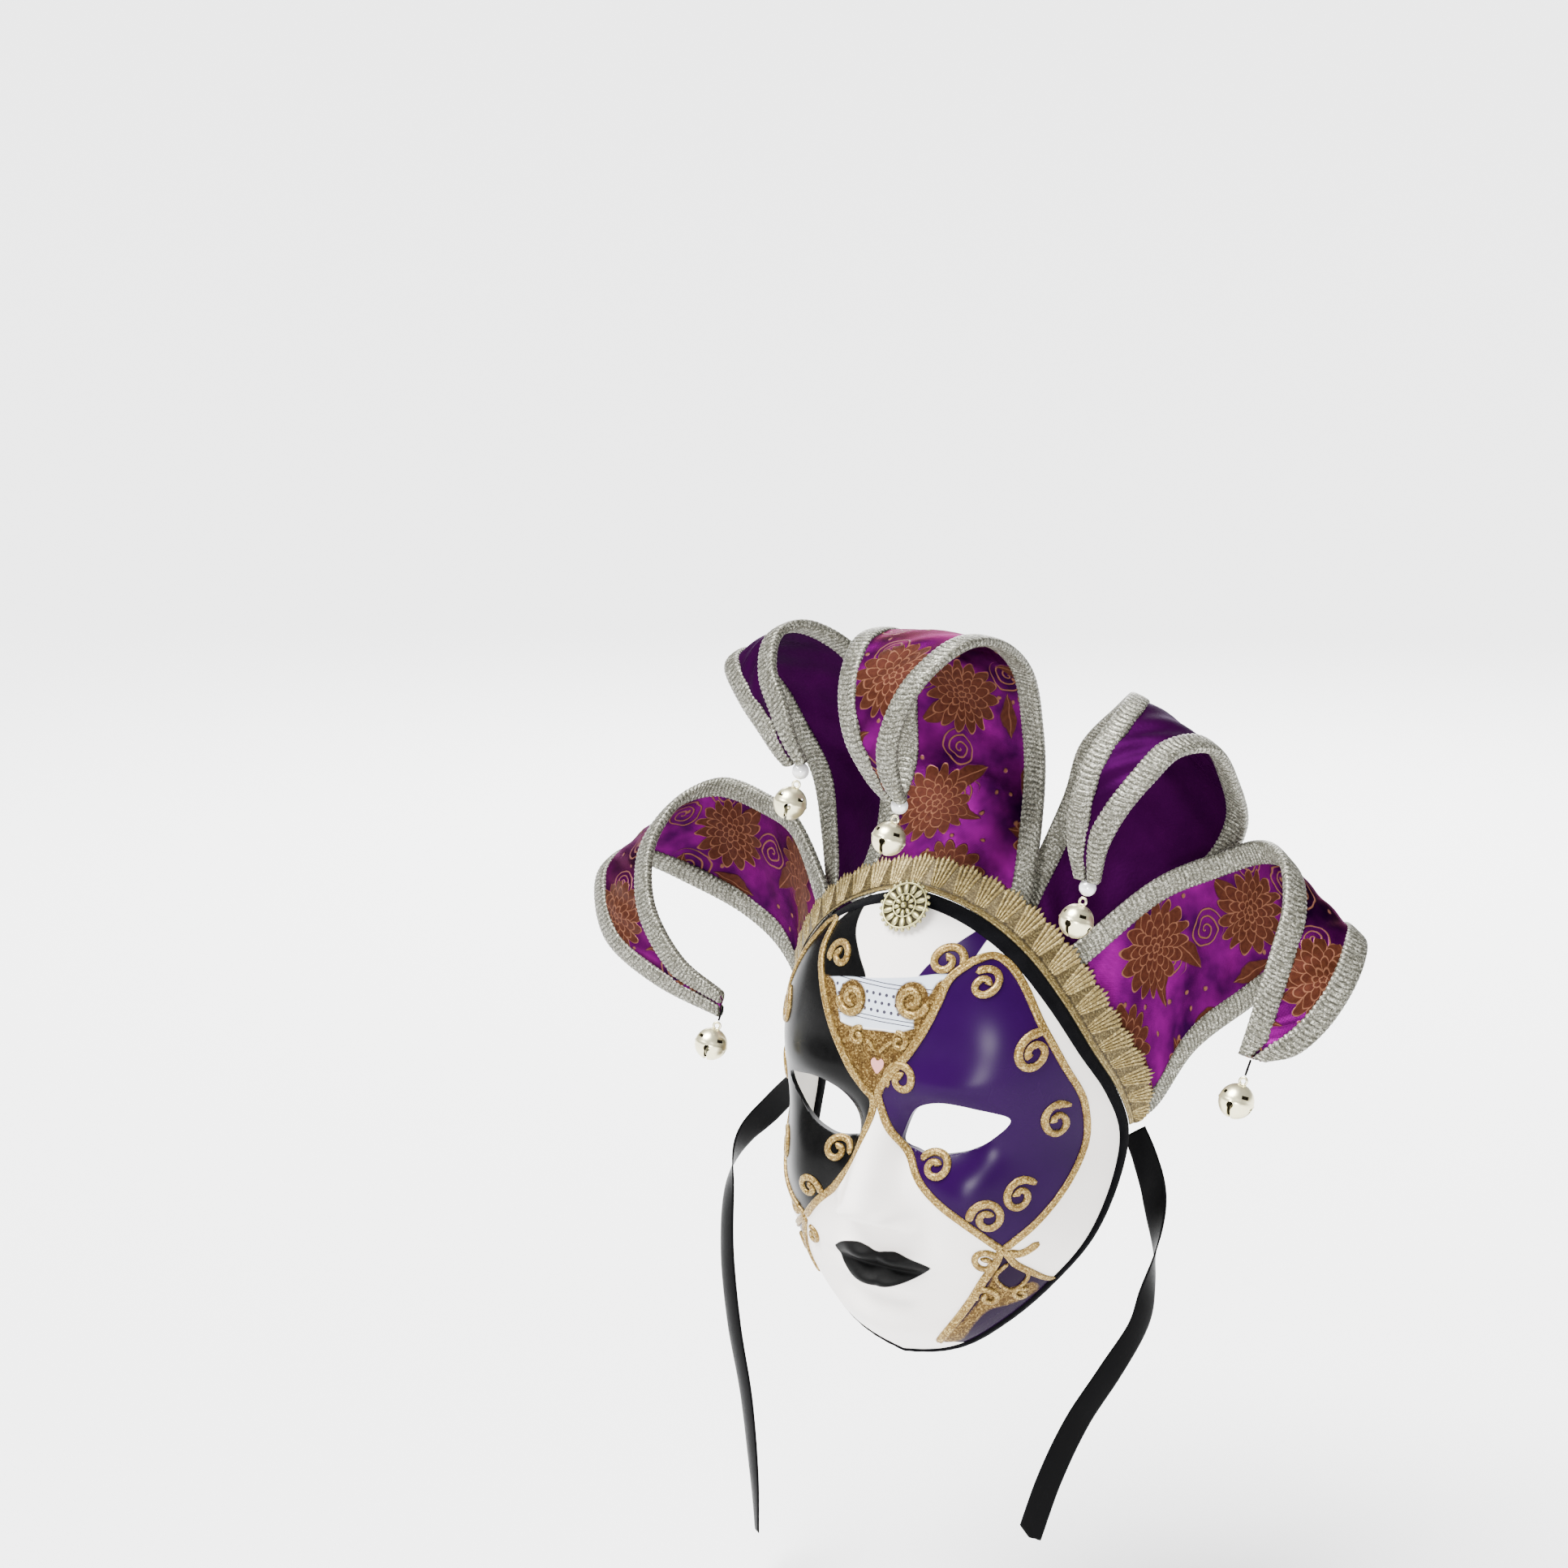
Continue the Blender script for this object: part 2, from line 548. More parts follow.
lining = Finish("bare_inside", (0.60, 0.57, 0.52), 0.75)
lining_wear = lining.effect(wear.tree, Vector=lining.place(), Scale=45.0)
lining.feed(lining.blend(lining_wear.outputs["Patches"], (0.66, 0.63, 0.58, 1), (0.54, 0.51, 0.46, 1)),
            "Base Color")
lining.relief(lining_wear.outputs["Specks"], 0.0003, 0.7)

face = add_piece("painted_shell", moved_grid(300, 108, face_spot, (0.5, 0.12), around=True),
                 paint.material)
if face.data.polygons[len(face.data.polygons) // 2].normal.y > 0:
    face.data.flip_normals()
face.data.materials.append(lining.material)
shell = thicken(face, FACE_WALL, -1)
shell.use_even_offset = False
shell.material_offset = 1
shell.material_offset_rim = 0
cutters = [eye_cutter(1), eye_cutter(-1)]
for cutter in cutters:
    cut = face.modifiers.new("eye_hole", "BOOLEAN")
    cut.object = cutter
    cut.solver = "EXACT"
baked(face, cutters)
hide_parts("face_shell")

spots = np.array([(v.co.x, v.co.z) for v in face.data.vertices]) * 1000


def mirrored(points):
    return [(-x, z) for x, z in points]


def disc(x, z, radius):
    return [Vector((x + radius * math.cos(0.3 * i), z + radius * math.sin(0.3 * i))) for i in range(21)]


def ring_of(*runs):
    """Closed outline along several runs of points."""
    return [spot for run in runs for spot in curve_through(run)[:-1]]


outlines = {
    "violet": [ring_of(VIOLET_INNER, VIOLET_OUTER), ring_of(SHIELD_RIGHT)],
    "black": [ring_of(BLACK_INNER, BLACK_OUTER), ring_of(SHIELD_LEFT)],
    "patch": [ring_of(PATCH + PATCH[:1])],
    "gilding": [ring_of(GILDING + GILDING[:1]), ring_of(GILDED_LEFT + GILDED_LEFT[:1]),
                ring_of(GILDED_RIGHT + GILDED_RIGHT[:1]), disc(-17, 56, 8.2), disc(14.5, 60, 8.4),
                ring_of(CHIN_GILDED + CHIN_GILDED[:1]), disc(-58, -78, 6.0)],
    "wedges": [ring_of(CHIN_RIGHT, CHIN_RIM, CHEEK_RIGHT),
               ring_of(CHIN_LEFT, [(-53, -95), (-62, -87)], CHEEK_LEFT)],
    "heart": [ring_of(HEART + HEART[:1])],
    "lips": [ring_of(LIPS_UPPER, LIPS_LOWER)],
}
for name, rings in outlines.items():
    field = face.data.attributes.new(name, "FLOAT", "POINT")
    measure = np.max([inside_by(spots, ring) for ring in rings], axis=0)
    field.data.foreach_set("value", measure.astype(np.float32))


# Relief: gold glitter paste squeezed onto the paint in lines and scrolls, which
# cover the joins of the painted fields. It dries to a rounded, grainy cord.
GILT_LINES = [
    ([(38.5, 79.5)] + VIOLET_INNER, 2.0), (VIOLET_OUTER + [(35.2, 77.5)], 2.1), (BLACK_INNER, 1.9),
    (BLACK_OUTER, 1.9),
    (CHIN_RIGHT, 2.1), (CHEEK_RIGHT, 1.9), (CHIN_LEFT, 2.0), (CHEEK_LEFT, 1.8),
    ([(-7, 40), (-3, 37.5), (0, 34)], 0.9), ([(8, 41), (4, 38), (1, 34)], 0.9),
    ([(59, -55), (63, -56.5), (67, -54.5), (70, -51)], 2.2), (DIAMOND, 1.0),
]
# x, z, radius, turn where the scroll starts, turns it makes (minus = clockwise)
GILT_SCROLLS = [
    (67, 39, 9.8, 60, 1.5), (74, 5, 9.4, 40, 1.4), (64, -28, 8.6, 30, 1.4), (54, -37, 8.8, 190, -1.45),
    (30, -15, 8.2, 170, -1.4), (44.5, 69, 8.0, 135, -1.4), (26, 77.5, 8.6, -20, 1.35),
    (14, 24.5, 8.6, 215, -1.4), (-29, 72, 7.6, 215, -1.35), (-23, -17, 7.4, -10, 1.35),
    (-38, -38, 6.8, -20, 1.3), (-66, 39, 9.0, 90, -1.35), (-74, 5, 8.6, 120, -1.35),
    (-64, -28, 7.8, 130, -1.35), (-17, 56, 8.0, 180, 1.35), (14.5, 60, 8.2, 0, -1.35),
    (-11, 40, 4.6, 60, 1.2), (11, 41, 4.6, 120, -1.2),
    (49, -80, 6.4, 200, -1.3), (60, -79.5, 4.8, 30, 1.25), (50.5, -60.5, 6.6, 20, 1.3),
    (-42, -66, 4.6, 120, -1.3), (-54, -56, 5.0, 340, 1.3), (-58, -78, 5.4, 120, -1.3),
]

gilt = Finish("gold_paste", (0.55, 0.40, 0.20), 0.4, 0.55, Specular_IOR_Level=0.3)
gilt_grains = gilt.effect(glitter.tree, Vector=gilt.place(), Grains=1900.0)
gilt_wear = gilt.effect(wear.tree, Vector=gilt.place(), Scale=70.0)
gilt_base = gilt.blend(gilt_wear.outputs["Patches"], (0.070, 0.034, 0.005, 1), (0.19, 0.112, 0.026, 1))
gilt.feed(gilt.blend(gilt_grains.outputs["Sparkle"], gilt_base, (0.52, 0.38, 0.13, 1)), "Base Color")
gilt.feed(gilt.maths("MULTIPLY_ADD", gilt_grains.outputs["Height"], 0.35, 0.25), "Roughness")
gilt.relief(gilt_grains.outputs["Height"], 0.00035, 0.8)


def squeeze(shape, route, widths, high=0.0013, groove=0.0):
    """A rounded cord of paste along x, z points on the face, half sunk in it."""
    count = len(route) - 1

    def place(u, v):
        i = min(int(round(v * count)), count)
        x, z = route[i]
        before, after = route[max(i - 1, 0)], route[min(i + 1, count)]
        out = face_facing(x, z)
        along = Vector((after[0] - before[0], 0, after[1] - before[1]))
        along = (along - out * along.dot(out)).normalized()
        side = out.cross(along)
        near = min(v, 1 - v) * count / 2
        fade = math.sqrt(max(0, 1 - (1 - min(near, 1)) ** 2))
        turn = 2 * math.pi * u
        half = widths[i]
        dip = 1 - groove * math.exp(-(math.cos(turn) / 0.35) ** 2)
        lift = out * (math.sin(turn) * high * fade * dip + 0.0002)
        return Vector((x, face_depth(x, z), z)) + side * math.cos(turn) * half * fade + lift

    cord = moved_grid(16, count, place, (0.008, 0.001 * count), around=True)
    part = bpy.data.meshes.new("part")
    cord.to_mesh(part)
    cord.free()
    shape.from_mesh(part)
    bpy.data.meshes.remove(part)


def even_route(points, step):
    """The same route with points a step apart."""
    route, left = [points[0]], 0.0
    for a, b in zip(points, points[1:]):
        run = (b - a).length
        at = step - left
        while at <= run:
            route.append(a + (b - a) * (at / run))
            at += step
        left = run - (at - step)
    return route


paste = bmesh.new()
for points, half in GILT_LINES:
    line = [p * 0.001 for p in curve_through(points, 12)]
    route = even_route(line, 0.0012)
    squeeze(paste, [tuple(p) for p in route], [half * 0.001] * len(route), groove=0.5)
for x, z, radius, start, turns in GILT_SCROLLS:
    x, z, radius = x * 0.001, z * 0.001, radius * 0.001
    out = face_facing(x, z)
    narrow = max(abs(out.y) / math.hypot(out.x, out.y), 0.45)
    low = max(abs(out.y) / math.hypot(out.z, out.y), 0.6)
    route, widths = [], []
    for i in range(49):
        share = i / 48
        turn = math.radians(start + 360 * turns * share)
        reach = radius * (1 - 0.80 * share ** 0.85)
        route.append((x + reach * narrow * math.cos(turn), z + reach * low * math.sin(turn)))
        widths.append(0.0006 + radius * (0.17 - 0.05 * share + 0.08 * max(0, share - 0.9) * 10))
    squeeze(paste, route, widths)
relief = add_piece("gold_relief", paste, gilt.material)


# Rim binding: a strip of black velvet folded over the edge of the shell and glued.
BINDING_TOP = 0.0080
BINDING_LOW = 0.0035
BINDING_OVER = 0.0015


def rim_frame(turn):
    """Edge of the shell, the foot of the binding, and the ways out of both."""
    height = (1 + math.cos(math.radians(turn))) / 2
    leg = BINDING_LOW + (BINDING_TOP - BINDING_LOW) * height
    edge = face_point(turn, 1)
    near, far = 0.8, 1.0
    for _ in range(16):
        half = (near + far) / 2
        if (face_point(turn, half) - edge).length > leg:
            near = half
        else:
            far = half
    foot = face_point(turn, near)
    outward = (edge - foot).normalized()
    run = face_point(turn + 2, 1) - face_point(turn - 2, 1)
    out = outward.cross(run).normalized()
    if out.y > 0:
        out.negate()
    return edge, foot, outward, out


def rounded(turn, power):
    """Point of a rounded box of half sides 1, at an angle."""
    c, s = math.cos(turn), math.sin(turn)
    return math.copysign(abs(c) ** power, c), math.copysign(abs(s) ** power, s)


velvet = Finish("black_velvet", (0.004, 0.004, 0.005), 0.85, IOR=1.06,
                Sheen_Weight=0.03, Sheen_Roughness=0.4)
velvet_pile = velvet.effect(wear.tree, Vector=velvet.place(), Scale=160.0)
velvet_black = velvet.blend(
    velvet_pile.outputs["Patches"], (0.001, 0.001, 0.0012, 1), (0.005, 0.005, 0.006, 1))
velvet.feed(velvet_black, "Base Color")
velvet.relief(velvet_pile.outputs["Specks"], 0.0003, 0.8)

BINDING_FRAMES = [rim_frame(360 * i / 240) for i in range(241)]


def binding_spot(u, v):
    edge, foot, outward, out = BINDING_FRAMES[round(240 * v)]
    length = (edge - foot).length
    across, up = rounded(2 * math.pi * u, 0.55)
    middle = foot.lerp(edge, 0.5) + outward * BINDING_OVER / 2 - out * FACE_WALL / 2
    half = length / 2 + BINDING_OVER / 2
    pucker = 0.00012 * math.sin(v * 2 * math.pi * 90) * (0.5 - 0.5 * across)
    return middle + outward * across * half + out * up * (FACE_WALL / 2 + BINDING_OVER + pucker)


binding = add_piece("velvet_binding", moved_grid(20, 240, binding_spot, (0.016, 0.62), around=True),
                    velvet.material)
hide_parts("rim_binding")


# Lace: a band of gold metal-thread lace, sewn over the outer edge of the binding
# from temple to temple: two twisted cords, then fans of pointed leaves.
LACE_WIDTH = 0.0225
LACE_NOTCH = 0.0040
LACE_OVER = 0.0005
LACE_STAND = 0.0025
LACE_ROOT = 0.004
LACE_END = 88
LACE_TAPER = 16
LACE_SCALLOPS = 30
CROWN_LEAN = 1.0


def crown_point(turn, out, layer):
    """Point of the crown that goes on outward from the rim and leans back."""
    angle = math.radians(turn)
    spread = out / math.hypot(1, CROWN_LEAN)
    return face_point(turn, 1) + Vector(
        (spread * math.sin(angle), spread * CROWN_LEAN + layer, spread * math.cos(angle)))


lace_gold = Finish("gold_lace", (0.30, 0.24, 0.12), 0.45, 0.5, Specular_IOR_Level=0.3)
lace_grains = lace_gold.effect(glitter.tree, Vector=lace_gold.place(), Grains=1500.0)
lace_threads = lace_gold.add("Attribute", attribute_name="threads").outputs["Fac"]
lace_base = lace_gold.blend(lace_threads, (0.008, 0.0045, 0.0012, 1), (0.185, 0.130, 0.040, 1))
lace_glint = lace_gold.maths("MULTIPLY", lace_grains.outputs["Sparkle"], lace_threads)
lace_gold.feed(lace_gold.blend(lace_glint, lace_base, (0.52, 0.41, 0.18, 1)), "Base Color")
lace_gold.relief(lace_grains.outputs["Height"], 0.0004, 0.8)


def lace_edge(phase):
    """How far a scallop reaches: a tall leaf between four lower ones."""
    f = phase % 1 - 0.5
    leaves = max(high * max(0, 1 - abs(f - at) / 0.10)
                 for at, high in ((0, 1.0), (-0.19, 0.78), (0.19, 0.78), (-0.37, 0.5), (0.37, 0.5)))
    return LACE_WIDTH - LACE_NOTCH * (1 - leaves)


def lace_threads_at(share, phase):
    """How high the threads stand: cords at the root, then the leaves of the fans."""
    if share < 0.27:
        cord = abs(math.sin(math.pi * share / 0.135)) ** 0.5
        return cord * (0.45 + 0.55 * abs(math.sin(math.pi * (phase * 5 + share * 14))))
    if share < 0.31:
        return 0.05
    up = (share - 0.31) / 0.69
    spread = (phase % 1 - 0.5) / (0.42 + 0.58 * up ** 0.8)
    if abs(spread) > 0.5:
        return 0.04 + 0.28 * abs(math.sin(math.pi * (phase * 2 + up * 9)))
    leaf = abs(math.cos(math.pi * 5 * spread)) ** 1.3
    barbs = 0.5 + 0.5 * math.sin(2 * math.pi * (up * 8 - abs(math.cos(math.pi * 5 * spread)) * 1.2))
    return min(leaf * (0.62 + 0.5 * barbs), 1.0)


LACE_STEPS = LACE_SCALLOPS * 40
LACE_FRAMES = [rim_frame(LACE_END * (2 * i / LACE_STEPS - 1)) for i in range(LACE_STEPS + 1)]


def lace_spot(u, v):
    turn = -LACE_END + 2 * LACE_END * v
    phase = LACE_SCALLOPS * v
    full = max(min((LACE_END - abs(turn)) / LACE_TAPER, 1), 0) ** 0.5
    threads = lace_threads_at(u, phase)
    edge, foot, outward, out = LACE_FRAMES[round(LACE_STEPS * v)]
    lift = -0.0006 - 0.0008 * threads * full
    root = edge - outward * LACE_OVER + out * (LACE_STAND - lift - 0.0007)
    tip = LACE_ROOT + 0.0015 + (lace_edge(phase) - LACE_ROOT - 0.0015) * full
    fold = 0.24
    if u < fold:
        return root.lerp(crown_point(turn, LACE_ROOT, lift), u / fold), threads
    share = (u - fold) / (1 - fold)
    return crown_point(turn, LACE_ROOT + (tip - LACE_ROOT) * share, lift), threads


lace = add_piece("lace_band", moved_grid(30, LACE_STEPS, lace_spot, (0.0235, 0.36)),
                 lace_gold.material)
thicken(lace, 0.0006, 0)
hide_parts("gold_lace")


# Horns: five strips of wired cloth, rooted behind the lace. The middle and outer
# ones are purple brocade with copper flowers, the two between dark purple velvet.
CLOTH_WALL = 0.0016
BRAID_LEG = 0.009
ROOT_OUT = 0.004
HORNS = {
    "centre": dict(layer=0.0049, bow=-0.03, root=(-25, 25), top=(-21, 24, 21, 24), rows=[
        (-0.41, 0.04, 1.44, 0.36, 0.04, 1.44), (-0.42, 0.07, 1.72, 0.33, 0.07, 1.72),
        (-0.37, -0.01, 1.99, 0.33, -0.02, 1.98), (-0.31, -0.24, 2.13, 0.33, -0.26, 2.15),
        (-0.29, -0.48, 2.13, 0.29, -0.50, 2.18), (-0.25, -0.65, 1.97, 0.18, -0.69, 2.03),
        (-0.18, -0.72, 1.77, 0.10, -0.76, 1.80), (-0.11, -0.67, 1.59, 0.060, -0.70, 1.60),
        (-0.050, -0.61, 1.485, 0.045, -0.62, 1.485)]),
    "left_inner": dict(layer=0.0156, bow=-0.03, root=(-44, -20), top=(-41, 24, -19, 24), rows=[
        (-0.95, 0.16, 1.25, -0.49, 0.15, 1.42), (-1.08, 0.15, 1.49, -0.58, 0.18, 1.72),
        (-1.19, 0.09, 1.73, -0.67, 0.08, 1.95), (-1.22, -0.09, 1.88, -0.79, -0.10, 2.09),
        (-1.16, -0.26, 1.87, -0.85, -0.27, 2.08), (-0.99, -0.39, 1.77, -0.80, -0.41, 1.95),
        (-0.83, -0.46, 1.66, -0.69, -0.48, 1.80), (-0.74, -0.48, 1.58, -0.63, -0.50, 1.66),
        (-0.69, -0.46, 1.52, -0.60, -0.46, 1.54)]),
    "right_inner": dict(layer=0.0156, bow=-0.03, root=(20, 46), top=(18, 24, 42, 24), rows=[
        (0.43, 0.15, 1.38, 1.11, 0.26, 1.06), (0.50, 0.18, 1.63, 1.29, 0.24, 1.34),
        (0.72, 0.10, 1.84, 1.34, 0.03, 1.62), (0.89, -0.08, 1.95, 1.33, -0.14, 1.78),
        (0.92, -0.28, 1.89, 1.25, -0.31, 1.79), (0.88, -0.42, 1.76, 1.18, -0.42, 1.69),
        (0.85, -0.50, 1.58, 1.09, -0.49, 1.55), (0.84, -0.51, 1.40, 1.00, -0.50, 1.38),
        (0.85, -0.46, 1.22, 0.94, -0.46, 1.21)]),
    "left_outer": dict(layer=0.0062, bow=-0.02, root=(-37, -87), top=(-37, 22, -82, 15), rows=[
        (-0.97, 0.00, 1.10, -1.12, 0.12, 0.38), (-1.20, 0.05, 1.19, -1.37, 0.14, 0.55),
        (-1.42, 0.02, 1.24, -1.68, 0.09, 0.68), (-1.54, -0.13, 1.18, -1.92, -0.03, 0.79),
        (-1.56, -0.32, 1.05, -1.98, -0.20, 0.78), (-1.51, -0.47, 0.91, -1.90, -0.37, 0.68),
        (-1.40, -0.58, 0.73, -1.70, -0.53, 0.52), (-1.20, -0.64, 0.54, -1.35, -0.62, 0.40),
        (-0.96, -0.65, 0.415, -0.97, -0.65, 0.325)]),
    "right_outer": dict(layer=0.0062, bow=-0.02, root=(37, 87), top=(37, 22, 82, 15), rows=[
        (0.97, 0.00, 1.09, 1.14, 0.12, 0.32), (1.24, 0.04, 1.24, 1.40, 0.13, 0.56),
        (1.49, 0.01, 1.35, 1.71, 0.08, 0.82), (1.68, -0.14, 1.34, 1.97, -0.03, 1.00),
        (1.79, -0.32, 1.20, 2.10, -0.20, 1.03), (1.81, -0.46, 1.04, 2.13, -0.36, 0.92),
        (1.81, -0.56, 0.90, 2.08, -0.49, 0.77), (1.80, -0.63, 0.76, 1.99, -0.60, 0.66),
        (1.78, -0.67, 0.63, 1.87, -0.67, 0.62)]),
}


def horn_rows(horn):
    """Both edges of a horn, and how far its middle stands off the line between."""
    def crown_row(turn_a, out_a, turn_b, out_b):
        a = crown_point(turn_a, out_a, horn["layer"])
        b = crown_point(turn_b, out_b, horn["layer"])
        middle = crown_point((turn_a + turn_b) / 2, (out_a + out_b) / 2, horn["layer"])
        return [a, b, middle - (a + b) / 2]

    turn_a, turn_b = horn["root"]
    top_a, out_a, top_b, out_b = (x * (0.001 if i % 2 else 1) for i, x in enumerate(horn["top"]))
    rows = [crown_row(turn_a, ROOT_OUT, turn_b, ROOT_OUT), crown_row(top_a, out_a, top_b, out_b)]
    for ax, ay, az, bx, by, bz in horn["rows"]:
        rows.append([Vector((ax, ay, az)) * SPAN, Vector((bx, by, bz)) * SPAN, Vector((0, 0, 0))])
    side = 1 if turn_b > turn_a else -1
    for i in range(2, len(rows)):
        following = rows[min(i + 1, len(rows) - 1)]
        along = following[0] + following[1] - rows[i - 1][0] - rows[i - 1][1]
        across = rows[i][1] - rows[i][0]
        rows[i][2] = across.cross(along).normalized() * horn["bow"] * across.length * side
    return rows, side


def horn_section(rows, side, place):
    """Edges, bulge, ways along, across and out of a horn at a place on its rows."""
    last = len(rows) - 1
    a, b, bulge = (smooth([row[k] for row in rows], place) for k in range(3))
    before, after = max(place - 0.25, 0), min(place + 0.25, last)
    along = sum((smooth([row[k] for row in rows], after) - smooth([row[k] for row in rows], before)
                 for k in range(2)), Vector((0, 0, 0))).normalized()
    across = (b - a).normalized()
    out = across.cross(along).normalized() * side
    return a, b, bulge, along, across, out


brocade = Finish("purple_brocade", (0.11, 0.005, 0.17), 0.40, 0.6, IOR=1.2)
brocade.set("Specular Tint", (0.50, 0.08, 0.36, 1))
brocade_place = brocade.flat_place()
brocade_wear = brocade.effect(wear.tree, Vector=brocade_place, Scale=35.0)
brocade_bend = brocade.add("VectorMath", {0: brocade_wear.outputs["Patches"], 1: (0.012, 0.010, 0)},
                           operation="MULTIPLY")
brocade_laid = brocade.add("VectorMath", {0: brocade_place, 1: brocade_bend.outputs["Vector"]},
                           operation="ADD").outputs["Vector"]


def scattered(per_metre, loose, shift):
    """Motifs scattered over the cloth: reach and turn from the nearest one's
    middle, and a number that each one has by luck."""
    moved = brocade.add("VectorMath", {0: brocade_laid, 1: (shift, shift * 0.6, 0)}, operation="ADD")
    cells = brocade.add("TexVoronoi", {"Vector": moved.outputs["Vector"], "Scale": per_metre,
                                       "Randomness": loose}, voronoi_dimensions="2D")
    away = brocade.add("VectorMath", {0: moved.outputs["Vector"], 1: cells.outputs["Position"]},
                       operation="SUBTRACT").outputs["Vector"]
    parts = brocade.add("SeparateXYZ", {"Vector": away}).outputs
    luck = brocade.add("SeparateColor", {"Color": cells.outputs["Color"]}).outputs
    turn = brocade.maths("ARCTAN2", parts["Y"], parts["X"])
    turn = brocade.maths("MULTIPLY_ADD", luck["Red"], 6.283, turn)
    reach = brocade.add("VectorMath", {0: away}, operation="LENGTH").outputs["Value"]
    return reach, turn, luck["Green"]


def waves(turn, count, shift=0.0):
    """Rounded petals round a middle, 0 to 1."""
    angle = brocade.maths("MULTIPLY_ADD", turn, count / 2, shift)
    return brocade.maths("ABSOLUTE", brocade.maths("COSINE", angle))


# Large flowers: five rings of petals, each petal outlined and parted from the next.
FLOWER_RINGS = [
    (0.0185, 15, 0.0), (0.0135, 13, 1.57), (0.0090, 11, 0.4), (0.0048, 7, 1.2), (0.0018, 5, 0.0),
]
reach, turn, luck = scattered(20.0, 0.55, 0.013)
held = brocade.under(luck, 0.72, 0.001)
bloom, lines = None, None
for size, count, shift in FLOWER_RINGS:
    petal_wave = waves(turn, count, shift)
    rim_at = brocade.maths("MULTIPLY_ADD", petal_wave, size * 0.26, size * 0.78)
    inside = brocade.under(reach, rim_at)
    off_rim = brocade.maths("ABSOLUTE", brocade.maths("SUBTRACT", reach, rim_at))
    rim_line = brocade.under(off_rim, 0.00035, 0.0002)
    parting = brocade.maths("MULTIPLY", brocade.under(petal_wave, 0.16, 0.06), inside)
    drawn = brocade.maths("MAXIMUM", rim_line, parting)
    if bloom is None:
        bloom, lines = inside, drawn
    else:
        kept = brocade.maths("MULTIPLY", lines, brocade.maths("SUBTRACT", 1.0, inside))
        lines = brocade.maths("MAXIMUM", kept, drawn)
bloom = brocade.maths("MULTIPLY", bloom, held)
lines = brocade.maths("MULTIPLY", lines, held)
bare = brocade.maths("SUBTRACT", 1.0, bloom)

# Leaves: pointed, with a pale vein, wherever no flower lies.
reach, turn, luck = scattered(38.0, 0.8, 0.031)
along_leaf = brocade.maths("MULTIPLY", reach, brocade.maths("COSINE", turn))
across_leaf = brocade.maths("ABSOLUTE", brocade.maths("MULTIPLY", reach, brocade.maths("SINE", turn)))
leaf_share = brocade.maths("ABSOLUTE", brocade.maths("DIVIDE", along_leaf, 0.0110))
leaf_share = brocade.maths("POWER", leaf_share, 1.5)
leaf_half = brocade.maths("MULTIPLY_ADD", leaf_share, -0.0046, 0.0046)
leaf = brocade.maths("MULTIPLY", brocade.under(across_leaf, leaf_half), brocade.under(luck, 0.55, 0.001))
leaf = brocade.maths("MULTIPLY", leaf, bare)
vein = brocade.maths("MULTIPLY", brocade.under(across_leaf, 0.0002, 0.0002), leaf)

# Scrolls and dots: fine curling lines and small spots between the rest.
reach, turn, luck = scattered(30.0, 0.9, 0.047)
coil = brocade.maths("MULTIPLY_ADD", reach, 1 / 0.0034, brocade.maths("DIVIDE", turn, 6.283))
coil = brocade.maths("ABSOLUTE", brocade.maths("SUBTRACT", brocade.maths("FRACT", coil), 0.5))
curl = brocade.maths("MULTIPLY", brocade.under(coil, 0.12, 0.05), brocade.under(reach, 0.0095))
curl = brocade.maths("MULTIPLY", curl, brocade.under(luck, 0.85, 0.001))
reach, turn, luck = scattered(85.0, 0.9, 0.009)
spot_mask = brocade.maths("MULTIPLY", brocade.under(reach, 0.0010), brocade.under(luck, 0.35, 0.001))
fine = brocade.maths("MULTIPLY", brocade.maths("MAXIMUM", curl, spot_mask), bare)
fine = brocade.maths("MULTIPLY", fine, brocade.maths("SUBTRACT", 1.0, leaf))
pale_lines = brocade.maths("MAXIMUM", brocade.maths("MAXIMUM", lines, vein), fine)
raised = brocade.maths("MAXIMUM", brocade.maths("MAXIMUM", bloom, leaf), fine)

brocade_weave = brocade.effect(weave.tree, Vector=brocade_place, Threads=1500.0)
shot = brocade.add("MapRange", {"Value": brocade_wear.outputs["Patches"],
                                "From Min": 0.36, "From Max": 0.66})
ground = brocade.blend(shot.outputs["Result"], (0.011, 0.00003, 0.016, 1), (0.086, 0.0002, 0.074, 1))
copper = brocade.blend(
    brocade_wear.outputs["Specks"], (0.018, 0.0045, 0.0020, 1), (0.052, 0.0165, 0.0070, 1))
thread_pale = brocade.blend(
    brocade_weave.outputs["Height"], (0.070, 0.026, 0.014, 1), (0.155, 0.068, 0.036, 1))
brocade_colour = brocade.blend(brocade.maths("MAXIMUM", bloom, leaf), ground, copper)
brocade.feed(brocade.blend(pale_lines, brocade_colour, thread_pale), "Base Color")
brocade.feed(brocade.maths("MULTIPLY_ADD", raised, 0.16, 0.32), "Roughness")
brocade.feed(brocade.maths("MULTIPLY_ADD", raised, -0.50, 0.88), "Metallic")
brocade_height = brocade.maths("MULTIPLY_ADD", brocade_weave.outputs["Height"], 0.3, raised)
brocade.relief(brocade.maths("MULTIPLY_ADD", pale_lines, 0.7, brocade_height), 0.0003, 0.6)

